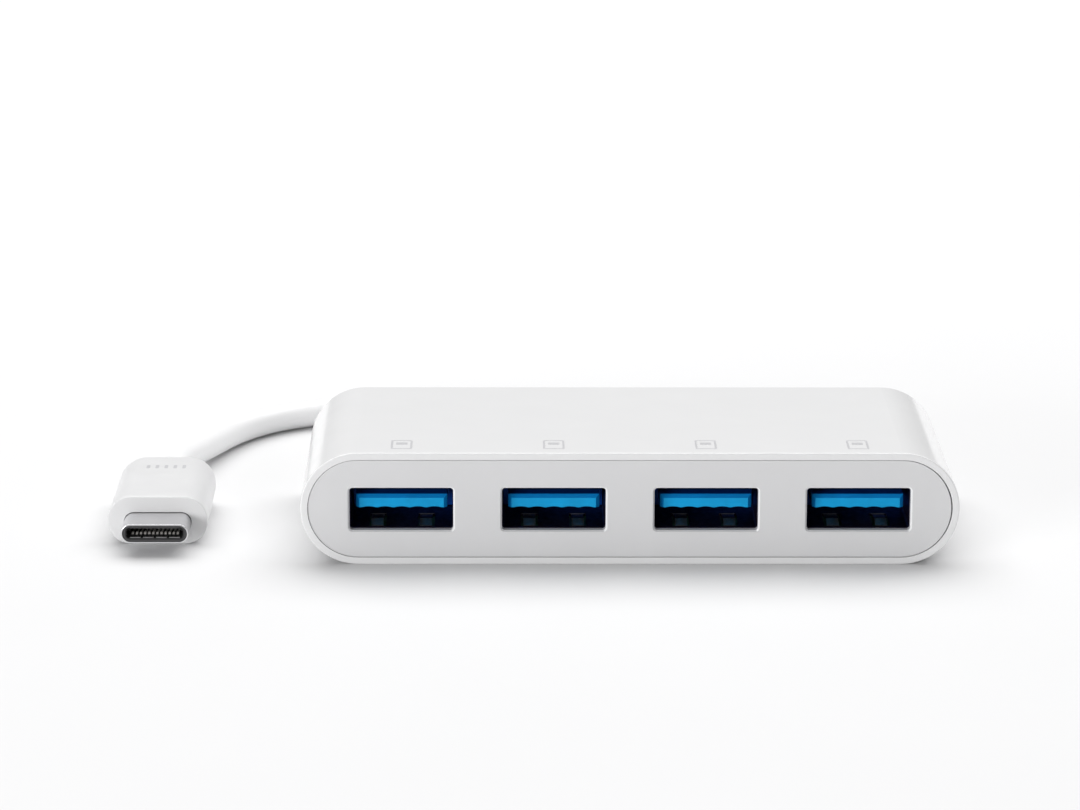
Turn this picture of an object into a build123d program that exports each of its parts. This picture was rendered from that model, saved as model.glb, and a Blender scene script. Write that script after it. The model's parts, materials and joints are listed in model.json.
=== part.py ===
from build123d import *

import math
import os

# A bus-powered USB hub: a tube-shaped body with a row of four USB-A sockets, and a captive cable
# that ends in a USB-C plug. Millimetres, +Z up, sockets facing -Y, +X to the right of the sockets.
# The origin is under the middle of the body, on the surface that it stands on.

# --- driving dimensions -------------------------------------------------------------------------

# body
BODY_WIDTH = 80.0
BODY_DEPTH = 32.5
BODY_HEIGHT = 14.0
WALL = 1.4
RIM = 0.86            # width of the tube's flat rim round each end plate
RIM_ROUND = 0.18
PLATE_THICK = 1.1
PLATE_INSET = 0.15    # how far each end plate sits behind the rim
PLATE_GAP = 0.07      # gap between rim and plate
PLATE_REST = (-0.05, -0.03)  # the front plate rests that far off the middle, to the left and down
PLATE_ROUND = 0.08
FIT = 0.05            # general assembly clearance

# sockets
PORT_COUNT = 4
PORT_PITCH = 18.5
PORT_Z = 6.9
CUTOUT_WIDTH = 12.6
CUTOUT_HEIGHT = 5.32
CUTOUT_CHAMFER = 0.2
CUTOUT_CORNER = 0.4
OPENING_WIDTH = 12.5  # inside the metal shell
OPENING_HEIGHT = 5.12
SHELL_WALL = 0.3
SHELL_LENGTH = 14.0
TONGUE_WIDTH = 11.1
TONGUE_THICK = 1.6
TONGUE_DROP = 1.2     # from the shell's ceiling to the tongue's top
TONGUE_BEVEL = 0.42
TONGUE_SETBACK = 0.65
BLOCK_LENGTH = 4.0    # the moulding's solid rear block
PAD_PITCH = 2.0
PAD_WIDTH = 1.1
PAD_SETBACK = 1.05    # from the tongue's front edge to the flat pads
STRIP_THICK = 0.2     # the contacts' sheet
SCALLOP_WIDTH = 1.8   # the shallow arcs along the tongue's lower front edge
SCALLOP_DEPTH = 0.13
LEAF_X = 2.95         # the leaf springs, either side of the socket's middle
LEAF_WIDTH = 1.5
LEAF_THICK = 0.25
TAIL_REACH = 0.7      # how far the solder tails stand out under the board

# circuit board
BOARD_WIDTH = 72.4
BOARD_THICK = 1.2
BOARD_SETBACK = 1.0   # from the socket's front to the board's edge
BOARD_REAR_GAP = 3.0  # from the board to the rear plate

# cable and plug
CABLE_DIAMETER = 3.5
ENTRY_Z = 7.0
RELIEF_LENGTH = 9.5
PLUG_X = -58.0
PLUG_WIDTH = 12.3
PLUG_HEIGHT = 6.0
PLUG_LENGTH = 20.0
PLUG_TAPER = 0.1      # how much each side of the cover draws in towards its back
PLUG_NOSE = 5.2       # how far the metal shell stands out of the cover
NOSE_DROP = 0.2       # the shell sits that much below the middle of the cover
C_WIDTH = 8.25
C_HEIGHT = 2.4
C_WALL = 0.15
C_SLOT = (6.95, 1.3)  # the opening in the carrier
C_PITCH = 0.5         # between neighbouring contacts, twelve in each row
C_CONTACT_WIDTH = 0.26
FINGER_COUNT = 4      # ground spring fingers on each wall of the plug's slot
FINGER_PITCH = 1.6
FINGER_THICK = 0.08

# --- places worked out from them ----------------------------------------------------------------

FRONT = -BODY_DEPTH / 2
REAR = BODY_DEPTH / 2
MID_Z = BODY_HEIGHT / 2
REBATE = PLATE_INSET + PLATE_THICK + FIT
PORT_FRONT = FRONT + REBATE
PORT_REAR = PORT_FRONT + SHELL_LENGTH
PORT_XS = [(i - (PORT_COUNT - 1) / 2) * PORT_PITCH for i in range(PORT_COUNT)]
SHELL_BOTTOM = PORT_Z - OPENING_HEIGHT / 2 - SHELL_WALL
TONGUE_TOP = PORT_Z + OPENING_HEIGHT / 2 - TONGUE_DROP
TONGUE_BOTTOM = TONGUE_TOP - TONGUE_THICK
TONGUE_FRONT = PORT_FRONT + TONGUE_SETBACK
BLOCK_FRONT = PORT_REAR - SHELL_WALL - BLOCK_LENGTH
BOARD_TOP = SHELL_BOTTOM - FIT
BOARD_BOTTOM = BOARD_TOP - BOARD_THICK
BOARD_FRONT = PORT_FRONT + BOARD_SETBACK
BOARD_REAR = REAR - REBATE - BOARD_REAR_GAP
HOOK_XS = [-PORT_PITCH, PORT_PITCH]
RELIEF_TIP = REAR + RELIEF_LENGTH
PLUG_FRONT = FRONT + 8.8     # the cover's front face


def plug_axis_point(distance):
    """A point on the plug's axis, that far behind its cover's front face."""
    return (PLUG_X, PLUG_FRONT + distance, PLUG_HEIGHT / 2)


# The cable's route, chosen by hand: from the sleeve behind the body, down to the table, round behind
# the left end and forward into the plug. Each point is a corner of the route, in millimetres.
CABLE_REST = 1.8             # height of the centreline where the cable lies on the table
CABLE_ROUTE = [
    (0.0, RELIEF_TIP, ENTRY_Z),
    (0.0, 31.2, ENTRY_Z),
    (-1.6, 38.5, 6.2),
    (-5.9, 45.3, 4.6),
    (-12.2, 50.2, 2.9),
    (-20.3, 53.0, 1.9),
    (-29.6, 53.3, CABLE_REST),
    (-38.7, 50.9, CABLE_REST),
    (-45.9, 47.1, CABLE_REST),
    (-51.0, 40.7, 1.85),
    (-54.4, 31.1, 2.2),
    plug_axis_point(PLUG_LENGTH + 6.6),
    plug_axis_point(PLUG_LENGTH),
]

nodes = {}


# --- helpers ------------------------------------------------------------------------------------

def slot(width, height):
    """A stadium outline."""
    return SlotOverall(width, height)


def along_y(sketch, start, length, x=0.0, z=0.0):
    """A sketch in the X-Z plane, run from y = start along +Y."""
    plane = Plane(origin=(x, start + length, z), x_dir=(1, 0, 0), z_dir=(0, -1, 0))
    return extrude(plane * sketch, amount=length)


def block(x0, x1, y0, y1, z0, z1):
    """A box between two corners."""
    centre = ((x0 + x1) / 2, (y0 + y1) / 2, (z0 + z1) / 2)
    return Pos(*centre) * Box(x1 - x0, y1 - y0, z1 - z0)


def strip(points, width, x):
    """A flat strip of that width at x, whose side view is the closed outline of (y, z) points."""
    outline = make_face(Polyline(*[(x, y, z) for y, z in points], close=True))
    return extrude(outline, amount=width / 2, both=True)


def edges_at(part, axis, last=False):
    """The edges that lie at one end of the part along an axis."""
    return part.edges().group_by(axis)[-1 if last else 0]


def group(parts):
    """Several separate solids as one node."""
    return Compound([solid for part in parts for solid in part.solids()])


def cut_all(part, tools):
    """The part with every tool cut out of it."""
    for tool in tools:
        part = part - tool
    return part


# --- body ---------------------------------------------------------------------------------------

def plate_outline():
    inset = 2 * (RIM + PLATE_GAP)
    return slot(BODY_WIDTH - inset, BODY_HEIGHT - inset)


def hook_boxes(y0, y1, grow=0.0):
    """The snap nibs' places under the tube's ceiling and over its floor, between the sockets."""
    half = 2.0 + grow
    low = WALL - 0.45 - grow
    high = BODY_HEIGHT - low
    boxes = []
    for x in HOOK_XS:
        boxes.append(block(x - half, x + half, y0 - grow, y1 + grow, low, WALL + 0.2))
        boxes.append(block(x - half, x + half, y0 - grow, y1 + grow, high - 0.65 - grow, high))
    return boxes


def make_shell_tube():
    tube = along_y(slot(BODY_WIDTH, BODY_HEIGHT), FRONT, BODY_DEPTH, z=MID_Z)
    tube = fillet(edges_at(tube, Axis.Y) + edges_at(tube, Axis.Y, True), RIM_ROUND)
    cavity = slot(BODY_WIDTH - 2 * WALL, BODY_HEIGHT - 2 * WALL)
    rebate = slot(BODY_WIDTH - 2 * RIM, BODY_HEIGHT - 2 * RIM)
    tube = tube - along_y(cavity, FRONT, BODY_DEPTH, z=MID_Z)
    tube = tube - along_y(rebate, FRONT, REBATE, z=MID_Z)
    tube = tube - along_y(rebate, REAR - REBATE, REBATE, z=MID_Z)
    return cut_all(add_board_rails(tube), snap_pockets())


def snap_pockets():
    """Recesses in the tube's floor and ceiling that the plates' nibs click into."""
    front = FRONT + REBATE + 2.2
    rear = REAR - REBATE - 2.2
    return hook_boxes(front, front + 1.0, 0.1) + hook_boxes(rear - 1.0, rear, 0.1)


def add_board_rails(tube):
    """A grooved rail along each side wall, which the board slides into."""
    rail_start = FRONT + REBATE + 1.5
    rail_end = REAR - REBATE - 1.5
    envelope = along_y(slot(BODY_WIDTH - WALL, BODY_HEIGHT - WALL), FRONT, BODY_DEPTH, z=MID_Z)
    groove_half = BOARD_WIDTH / 2 + 0.1
    for side in (-1, 1):
        near, far = sorted((side * 35.2, side * (BODY_WIDTH / 2)))
        rail = block(near, far, rail_start, rail_end, 0.7, BOARD_TOP + 1.3) & envelope
        near, far = sorted((0.0, side * groove_half))
        groove = block(near, far, FRONT, REAR, BOARD_BOTTOM - FIT, BOARD_TOP + FIT)
        tube = tube + (rail - groove)
    return tube


def add_hooks(plate, inner_face, direction):
    """Four snap hooks on a plate's inner face, reaching into the tube."""
    tip = inner_face + direction * 3.3
    nib_end = inner_face + direction * 3.2
    nib_start = inner_face + direction * 2.3
    for x in HOOK_XS:
        for low in (WALL + 0.08, BODY_HEIGHT - WALL - 0.08 - 0.7):
            y0, y1 = sorted((inner_face - direction * 0.3, tip))
            plate = plate + block(x - 1.9, x + 1.9, y0, y1, low, low + 0.7)
    y0, y1 = sorted((nib_start, nib_end))
    for nib in hook_boxes(y0 + 0.05, y1 - 0.05, -0.1):
        plate = plate + nib
    return plate


def make_front_plate():
    start = FRONT + PLATE_INSET
    aside, down = PLATE_REST
    plate = along_y(plate_outline(), start, PLATE_THICK, aside, MID_Z + down)
    plate = fillet(edges_at(plate, Axis.Y), PLATE_ROUND)
    cutout = RectangleRounded(CUTOUT_WIDTH, CUTOUT_HEIGHT, CUTOUT_CORNER)
    for x in PORT_XS:
        plate = plate - along_y(cutout, start - 1, PLATE_THICK + 2, x=x, z=PORT_Z)
    inner = [e for e in edges_at(plate, Axis.Y) if abs(e.center().Z - MID_Z) < 3.2]
    inner = [e for e in inner if abs(e.center().X) < PORT_XS[-1] + 7]
    plate = chamfer(inner, CUTOUT_CHAMFER)
    return add_hooks(plate, start + PLATE_THICK, 1)


def make_rear_plate():
    start = REAR - PLATE_INSET - PLATE_THICK
    plate = along_y(plate_outline(), start, PLATE_THICK, z=MID_Z)
    plate = fillet(edges_at(plate, Axis.Y, True), PLATE_ROUND)
    plate = plate - along_y(Circle(2.9), start - 1, PLATE_THICK + 2, z=ENTRY_Z)
    return add_hooks(plate, start, -1)


# --- sockets ------------------------------------------------------------------------------------

def leg_places(x):
    """Where a socket shell's four mounting legs go through the board."""
    half = OPENING_WIDTH / 2 + SHELL_WALL / 2
    ys = (PORT_FRONT + 3.6, PORT_FRONT + 9.8)
    return [(x + side * half, y) for side in (-1, 1) for y in ys]


def make_port_shell(x):
    """The folded sheet-metal shell, with two leaf springs in its floor and two in its ceiling."""
    outer = RectangleRounded(OPENING_WIDTH + 2 * SHELL_WALL, OPENING_HEIGHT + 2 * SHELL_WALL, 0.6)
    inner = RectangleRounded(OPENING_WIDTH, OPENING_HEIGHT, 0.3)
    shell = along_y(outer, PORT_FRONT, SHELL_LENGTH, x=x, z=PORT_Z)
    shell = shell - along_y(inner, PORT_FRONT - 1, SHELL_LENGTH + 1 - SHELL_WALL, x=x, z=PORT_Z)
    # the solder tails leave through the open rear half of the floor
    floor = SHELL_BOTTOM
    half = OPENING_WIDTH / 2 - 0.6
    shell = shell - block(x - half, x + half, BLOCK_FRONT + 0.3, PORT_REAR - 0.4, floor - 1, floor + 1)
    for side in (-1, 1):
        shell = add_leaf_spring(shell, x + side * LEAF_X, -1)
        shell = add_leaf_spring(shell, x + side * LEAF_X, 1)
    for leg_x, leg_y in leg_places(x):
        leg = block(leg_x - 0.15, leg_x + 0.15, leg_y - 0.7, leg_y + 0.7, BOARD_BOTTOM - 0.8, PORT_Z)
        shell = shell + leg
    return shell


def add_leaf_spring(shell, x, side):
    """A window in the floor (side -1) or ceiling (side 1), and a leaf that bows into the opening."""
    outside = PORT_Z + side * (OPENING_HEIGHT / 2 + SHELL_WALL)
    tip = PORT_FRONT + 0.9
    crest = tip + 1.4
    root = tip + 5.2
    window = LEAF_WIDTH / 2 + 0.3
    z0, z1 = sorted((outside + side * 0.1, outside - side * 0.5))
    shell = shell - block(x - window, x + window, tip - 0.25, root, z0, z1)
    bow = [(tip, 0.05), (crest - 0.15, 0.6), (crest + 0.35, 0.6), (root - 0.3, 0.0), (root + 0.2, 0.0)]
    face = [(y, outside - side * depth) for y, depth in bow]
    back = [(y, outside - side * (depth + LEAF_THICK)) for y, depth in reversed(bow)]
    return shell + strip(face + back, LEAF_WIDTH, x)


def contact_profile(tail_y):
    """The side view of a SuperSpeed contact: pad flush with the tongue's underside, and its tail."""
    low = TONGUE_BOTTOM - 0.02
    front = TONGUE_FRONT + PAD_SETBACK
    tip = BOARD_BOTTOM - TAIL_REACH
    half = STRIP_THICK / 2
    return [
        (front, low),
        (front, low + STRIP_THICK),
        (tail_y + half, low + STRIP_THICK),
        (tail_y + half, tip),
        (tail_y - half, tip),
        (tail_y - half, low),
    ]


def spring_profile(tail_y):
    """The side view of a sprung contact: a bowed beam under the tongue, and its tail."""
    root = TONGUE_BOTTOM + 0.45
    crest = root - 0.75
    front = TONGUE_FRONT + 2.6
    tip = BOARD_BOTTOM - TAIL_REACH
    half = STRIP_THICK / 2
    return [
        (front, root - STRIP_THICK),
        (front, root),
        (front + 1.2, crest),
        (BLOCK_FRONT + 0.4, root),
        (tail_y + half, root),
        (tail_y + half, tip),
        (tail_y - half, tip),
        (tail_y - half, root - STRIP_THICK),
        (BLOCK_FRONT + 0.4, root - STRIP_THICK),
        (front + 1.2, crest - STRIP_THICK),
    ]


def pad_xs(x):
    return [x + (i - 2) * PAD_PITCH for i in range(5)]


def spring_xs(x):
    return [x - 3.0, x - 1.0, x + 1.0, x + 3.0]


PAD_TAIL_Y = PORT_REAR - 1.2
SPRING_TAIL_Y = PORT_REAR - 2.9


def contact_strips(x):
    pads = [strip(contact_profile(PAD_TAIL_Y), PAD_WIDTH, px) for px in pad_xs(x)]
    springs = [strip(spring_profile(SPRING_TAIL_Y), 0.6, sx) for sx in spring_xs(x)]
    return pads + springs


def make_port_insulator(x):
    """The blue moulding: a bevelled tongue in front of a solid block, grooved for the contacts."""
    half = TONGUE_WIDTH / 2
    tongue = block(x - half, x + half, TONGUE_FRONT, BLOCK_FRONT + 0.5, TONGUE_BOTTOM, TONGUE_TOP)
    front_edges = edges_at(tongue, Axis.Y)
    bevelled = [e for e in front_edges if e.center().Z > TONGUE_BOTTOM + 0.1]
    tongue = chamfer(bevelled, TONGUE_BEVEL)
    for px in pad_xs(x):
        tongue = tongue - scallop(px)
    for sx in spring_xs(x):
        tongue = tongue - strip(spring_groove(), 0.72, sx)
    half = OPENING_WIDTH / 2 - 0.15
    low = PORT_Z - OPENING_HEIGHT / 2 + 0.1
    high = PORT_Z + OPENING_HEIGHT / 2 - 0.1
    rear = PORT_REAR - SHELL_WALL - 0.02
    body = block(x - half, x + half, BLOCK_FRONT, rear, low, high)
    body = body - block(x - half - 1, x + half + 1, BLOCK_FRONT + 0.8, rear + 1, low - 1, low + 1.5)
    return cut_all(tongue + body, contact_strips(x))


def scallop(x):
    """The shallow arc over each pad, from the tongue's front edge back to the pad."""
    half = SCALLOP_WIDTH / 2
    radius = (half**2 + SCALLOP_DEPTH**2) / (2 * SCALLOP_DEPTH)
    height = TONGUE_BOTTOM + SCALLOP_DEPTH - radius
    return along_y(Circle(radius), TONGUE_FRONT - 1, 1 + PAD_SETBACK, x, height)


def spring_groove():
    """The channel that each sprung contact moves in."""
    y0 = TONGUE_FRONT + 2.45
    return [
        (y0, TONGUE_BOTTOM - 0.1),
        (y0, TONGUE_BOTTOM + 0.5),
        (BLOCK_FRONT, TONGUE_BOTTOM + 0.5),
        (BLOCK_FRONT, TONGUE_BOTTOM - 0.1),
    ]


def make_port_comb(x):
    """The black comb that holds the nine tails at their pitch over the board."""
    low = PORT_Z - OPENING_HEIGHT / 2 + 0.14
    y0 = BLOCK_FRONT + 1.0
    y1 = PORT_REAR - SHELL_WALL - 0.1
    half = OPENING_WIDTH / 2 - 0.4
    comb = block(x - half, x + half, y0, y1, low, low + 1.3)
    return cut_all(comb, contact_strips(x))


# --- board and what is on it --------------------------------------------------------------------

def make_main_board():
    half = BOARD_WIDTH / 2
    board = block(-half, half, BOARD_FRONT, BOARD_REAR, BOARD_BOTTOM, BOARD_TOP)
    corners = board.edges().filter_by(Axis.Z)
    board = fillet(corners, 0.8)
    for x in PORT_XS:
        for leg_x, leg_y in leg_places(x):
            hole = block(leg_x - 0.4, leg_x + 0.4, leg_y - 1, leg_y + 1, BOARD_BOTTOM - 1, BOARD_TOP + 1)
            board = board - hole
        for tail_x, tail_y, r in tail_places(x):
            board = board - Pos(tail_x, tail_y, BOARD_TOP) * Cylinder(r, 4)
    return board


def tail_places(x):
    pads = [(px, PAD_TAIL_Y, 0.62) for px in pad_xs(x)]
    springs = [(sx, SPRING_TAIL_Y, 0.38) for sx in spring_xs(x)]
    return pads + springs


def chip(x, y, width, depth, height, lead=0.0):
    """A moulded package on the board, chamfered on top, with a row of gull-wing leads if asked."""
    body = Pos(x, y, BOARD_TOP + 0.08 + height / 2) * Box(width, depth, height)
    body = chamfer(edges_at(body, Axis.Z, True), 0.12)
    if lead:
        count = int(width / 1.27)
        for side in (-1, 1):
            for i in range(count):
                lx = x + (i - (count - 1) / 2) * 1.27
                y0, y1 = sorted((y + side * (depth / 2 - 0.2), y + side * (depth / 2 + lead)))
                body = body + block(lx - 0.2, lx + 0.2, y0, y1, BOARD_TOP, BOARD_TOP + 0.3)
    return body


def chip_row(places, size):
    """Two-terminal parts of one size, each turned a quarter where asked."""
    length, width, height = size
    parts = []
    for x, y, turned in places:
        dx, dy = (width, length) if turned else (length, width)
        body = Pos(x, y, BOARD_TOP + height / 2) * Box(dx, dy, height)
        parts.append(fillet(body.edges(), height * 0.12))
    return group(parts)


COMPONENT_Y = (PORT_REAR + BOARD_REAR) / 2


def make_hub_controller():
    x = 11.0
    body = chip(x, COMPONENT_Y + 0.5, 8.0, 8.0, 0.85)
    mark = Pos(x - 3.0, COMPONENT_Y + 3.5, BOARD_TOP + 0.93) * Cylinder(0.4, 0.2)
    return body - mark


def make_flash_memory():
    return chip(-13.0, COMPONENT_Y + 0.5, 5.0, 3.9, 1.5, lead=0.9)


def make_crystal():
    lid = Pos(18.2, COMPONENT_Y + 0.5, BOARD_TOP + 0.35) * Box(3.2, 2.5, 0.7)
    return fillet(lid.edges().filter_by(Axis.Z), 0.4)


def make_voltage_regulator():
    y = COMPONENT_Y + 0.3
    body = chip(-22.5, y, 6.5, 3.5, 1.6)
    body = body + block(-24.0, -21.0, y + 1.5, y + 3.4, BOARD_TOP, BOARD_TOP + 0.35)
    for i in range(3):
        x = -24.8 + i * 2.3
        body = body + block(x - 0.35, x + 0.35, y - 3.4, y - 1.5, BOARD_TOP, BOARD_TOP + 0.35)
    return body


def make_power_inductor():
    core = Pos(27.0, COMPONENT_Y + 0.5, BOARD_TOP + 1.2) * Box(5.2, 5.2, 2.4)
    core = chamfer(core.edges().filter_by(Axis.Z), 1.0)
    return fillet(edges_at(core, Axis.Z, True), 0.25)


def make_resettable_fuse():
    return chip_row([(33.0, COMPONENT_Y + 0.5, True)], (4.5, 3.2, 0.9))


def make_bulk_capacitors():
    """One moulded tantalum block between each pair of sockets, and one by the board's left end."""
    places = [(x + PORT_PITCH / 2, PORT_REAR - 4.2, True) for x in PORT_XS[:-1]]
    return chip_row(places + [(-31.0, COMPONENT_Y + 0.5, False)], (3.5, 2.6, 1.9))


def make_decoupling_capacitors():
    y = COMPONENT_Y
    ring = [(5.3, y - 2.4, True), (5.3, y + 0.2, True), (5.3, y + 2.8, True), (18.2, y + 3.4, False)]
    line = [(-10.5 + i * 1.7, y + 4.2, True) for i in range(4)]
    return chip_row(ring + line, (1.6, 0.8, 0.8))


def make_resistors():
    y = COMPONENT_Y
    line = [(-8.4 + i * 1.7, y - 2.0, True) for i in range(4)]
    ends = [(22.0, y - 2.6, False), (22.0, y - 1.0, False), (22.0, y + 0.6, False)]
    return chip_row(line + ends, (1.6, 0.8, 0.45))


def make_esd_arrays():
    """One small protection array behind each socket."""
    arrays = [chip(x + 4.6, PORT_REAR + 1.5, 2.5, 1.0, 0.5) for x in PORT_XS[:2]]
    arrays += [chip(x - 4.6, PORT_REAR + 1.5, 2.5, 1.0, 0.5) for x in PORT_XS[2:]]
    return group(arrays)


# --- cable entry --------------------------------------------------------------------------------

RELIEF_FLANGE_Y = REAR - REBATE - 1.2
CRIMP_FRONT = RELIEF_FLANGE_Y - 2.2


def make_strain_relief():
    """A tapered, ringed sleeve: flange inside the rear plate, neck in its hole, taper outside."""
    bore = CABLE_DIAMETER / 2 + 0.03
    steps = 4
    outline = [(bore, RELIEF_FLANGE_Y), (4.3, RELIEF_FLANGE_Y), (4.3, REAR - REBATE - 0.05)]
    outline += [(2.85, REAR - REBATE - 0.05), (2.85, REAR - PLATE_INSET + 0.05)]
    outline += [(3.5, REAR - PLATE_INSET + 0.05), (3.5, REAR + 1.4)]
    length = RELIEF_TIP - (REAR + 1.4)
    for i in range(steps):
        y = REAR + 1.4 + length * i / steps
        outer = 3.15 - 0.75 * i / steps
        groove = outer - 0.42
        outline += [(groove, y + 0.1), (groove, y + 0.75), (outer, y + 0.85)]
        outline += [(outer - 0.12, y + length / steps)]
    outline += [(bore, RELIEF_TIP)]
    face = make_face(Polyline(*[(r, y, ENTRY_Z) for r, y in outline], close=True))
    return revolve(face, Axis((0, 0, ENTRY_Z), (0, 1, 0)))


def make_cable_entry():
    """The jacketed stretch inside the sleeve, from the crimp to the sleeve's tip."""
    start = CRIMP_FRONT - 0.4
    return along_y(Circle(CABLE_DIAMETER / 2), start, RELIEF_TIP - start, z=ENTRY_Z)


def make_cable_crimp():
    """The metal ring squeezed round the jacket behind the sleeve's flange."""
    ring = Circle(2.3) - Circle(CABLE_DIAMETER / 2 + 0.01)
    return along_y(ring, CRIMP_FRONT, RELIEF_FLANGE_Y - 0.05 - CRIMP_FRONT, z=ENTRY_Z)


def make_wire_set():
    """Eight insulated conductors, fanned out from the jacket's end down to the board's pads."""
    wires = []
    count = 8
    start_y = CRIMP_FRONT - 0.4
    for i in range(count):
        spread = i - (count - 1) / 2
        x0 = spread * 0.36
        z0 = ENTRY_Z + (0.45 if i % 2 else -0.45)
        x1 = spread * 1.1
        path = FilletPolyline(
            (x0, start_y, z0),
            (x0, start_y - 1.0, z0),
            (x1, start_y - 2.4, BOARD_TOP + 0.9),
            (x1, start_y - 3.6, BOARD_TOP + 0.3),
            radius=0.4,
        )
        section = Plane(origin=path @ 0, z_dir=path % 0) * Circle(0.24)
        wires.append(sweep(section, path=path))
    return group(wires)


# --- cable --------------------------------------------------------------------------------------

def corner_radii(route):
    """The largest radius that each corner of the route has room for."""
    points = [Vector(*p) for p in route]
    runs = [b - a for a, b in zip(points, points[1:])]
    radii = []
    for before, after in zip(runs, runs[1:]):
        half_turn = math.radians(before.get_angle(after)) / 2
        radii.append(0.45 * min(before.length, after.length) / math.tan(half_turn))
    return radii


def make_usb_cable():
    radii = corner_radii(CABLE_ROUTE)
    path = FilletPolyline(*CABLE_ROUTE, radius=radii)
    section = Plane(origin=path @ 0, z_dir=path % 0) * Circle(CABLE_DIAMETER / 2)
    tube = sweep(section, path=path)
    expected = math.pi * (CABLE_DIAMETER / 2) ** 2 * path.length
    print("cable radii", [round(r, 1) for r in radii])
    print("cable length", round(path.length, 2), "volume", round(tube.volume, 1), "of", round(expected, 1))
    print("cable lowest point", round(tube.bounding_box().min.Z, 3))
    return tube


# --- plug ---------------------------------------------------------------------------------------
# The plug is made along Y with its axis at x = 0 and its cover's front face at y = 0, nose to -Y,
# and then put in its place beside the body.

PLUG_CAVITY = (9.6, 4.2)      # the cover's hollow, and where it starts and ends along the plug
CAVITY_FROM = 2.5
CAVITY_TO = 15.5
BOARD_FROM = 2.75
BOARD_LENGTH_C = 9.6
CABLE_END_FROM = BOARD_FROM + BOARD_LENGTH_C + 0.3
COVER_CORNER = 2.85           # corners of the cover's oval section
COVER_EDGE = 0.14             # the slight round on its front edge
BACK_PLAN_ROUND = 2.4         # its back's corners seen from above, and seen from the side
BACK_SIDE_ROUND = 1.4
NECK_GAP = 0.08               # between the cover and the metal shell


def place_plug(part):
    return Pos(*plug_axis_point(0)) * part


def rounded_back(corners, radius):
    """A flat outline whose corners at its far Y end are rounded."""
    outline = make_face(Polyline(*corners, close=True))
    return fillet(outline.vertices().group_by(Axis.Y)[-1], radius)


def make_plug_cover():
    """The moulded grip: an oval section that narrows a little to a rounded back."""
    half = PLUG_WIDTH / 2
    back = half - PLUG_TAPER
    low = PLUG_HEIGHT / 2
    straight = 2.0
    body = along_y(RectangleRounded(PLUG_WIDTH, PLUG_HEIGHT, COVER_CORNER), 0, PLUG_LENGTH)
    body = fillet(edges_at(body, Axis.Y), COVER_EDGE)
    plan = [(-half, -1), (half, -1), (half, straight), (back, PLUG_LENGTH)]
    plan += [(-x, y) for x, y in reversed(plan)]
    side = [(0, -1, -low), (0, PLUG_LENGTH, -low), (0, PLUG_LENGTH, low), (0, -1, low)]
    body = body & extrude(rounded_back(plan, BACK_PLAN_ROUND), amount=PLUG_HEIGHT, both=True)
    body = body & extrude(rounded_back(side, BACK_SIDE_ROUND), amount=PLUG_WIDTH, both=True)
    body = body - along_y(RectangleRounded(*PLUG_CAVITY, 1.2), CAVITY_FROM, CAVITY_TO - CAVITY_FROM)
    grow = 2 * NECK_GAP
    neck = RectangleRounded(C_WIDTH + grow, C_HEIGHT + grow, C_HEIGHT / 2 + NECK_GAP - 0.01)
    body = body - along_y(neck, -1, 4, z=-NOSE_DROP)
    return body - along_y(Circle(CABLE_DIAMETER / 2 + 0.01), CAVITY_TO - 1, PLUG_LENGTH)


def make_plug_shell():
    """The seamless metal shell round the contacts."""
    outer = RectangleRounded(C_WIDTH, C_HEIGHT, C_HEIGHT / 2 - 0.01)
    inner = RectangleRounded(C_WIDTH - 2 * C_WALL, C_HEIGHT - 2 * C_WALL, C_HEIGHT / 2 - C_WALL - 0.01)
    length = PLUG_NOSE + 2.6
    shell = along_y(outer, -PLUG_NOSE, length)
    shell = fillet(edges_at(shell, Axis.Y), 0.08)
    return shell - along_y(inner, -PLUG_NOSE - 1, length + 2)


def make_plug_carrier():
    """The dark moulding that lines the shell, with a bevelled slot for the receptacle's tongue."""
    width = C_WIDTH - 2 * C_WALL - 0.04
    height = C_HEIGHT - 2 * C_WALL - 0.04
    start = -PLUG_NOSE + 0.12
    carrier = along_y(RectangleRounded(width, height, height / 2 - 0.02), start, PLUG_NOSE + 2.2)
    carrier = carrier - along_y(RectangleRounded(*C_SLOT, 0.4), start - 1, 6.0)
    mouth = [e for e in edges_at(carrier, Axis.Y) if abs(e.center().X) < 3.6 and abs(e.center().Z) < 0.7]
    return chamfer(mouth, 0.12)


def contact_row(side):
    """Twelve contacts at half-millimetre pitch over one wall of the slot, their tips bowed into it."""
    wall = side * C_SLOT[1] / 2
    front = -PLUG_NOSE + 1.2
    bow = [(0, 0.26), (0.3, 0.43), (0.7, 0.43), (2.2, 0.1), (3.2, 0.1), (3.2, 0.0), (2.2, 0.0)]
    bow += [(0.7, 0.33), (0.3, 0.33), (0, 0.18)]
    profile = [(front + y, wall - side * depth) for y, depth in bow]
    return group([strip(profile, C_CONTACT_WIDTH, (i - 5.5) * C_PITCH) for i in range(12)])


def make_ground_springs():
    """The flat spring fingers on the slot's floor and ceiling, just inside the mouth."""
    front = -PLUG_NOSE + 0.5
    fingers = []
    for side in (-1, 1):
        low, high = sorted((side * C_SLOT[1] / 2, side * (C_SLOT[1] / 2 - FINGER_THICK)))
        for i in range(FINGER_COUNT):
            x = (i - (FINGER_COUNT - 1) / 2) * FINGER_PITCH
            fingers.append(block(x - 0.65, x + 0.65, front, front + 0.4, low, high))
    return group(fingers)


def make_plug_latches():
    """The two side springs that hold the receptacle's tongue."""
    front = -PLUG_NOSE + 2.2
    latches = []
    for side in (-1, 1):
        near, far = sorted((side * 3.28, side * 3.45))
        latch = block(near, far, front, front + 2.9, -0.28, 0.28)
        near, far = sorted((side * 3.1, side * 3.4))
        latches.append(latch + block(near, far, front + 0.2, front + 0.8, -0.28, 0.28))
    return group(latches)


def make_plug_board():
    half = 4.2
    return block(-half, half, BOARD_FROM, BOARD_FROM + BOARD_LENGTH_C, -0.4, 0.4)


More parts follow.
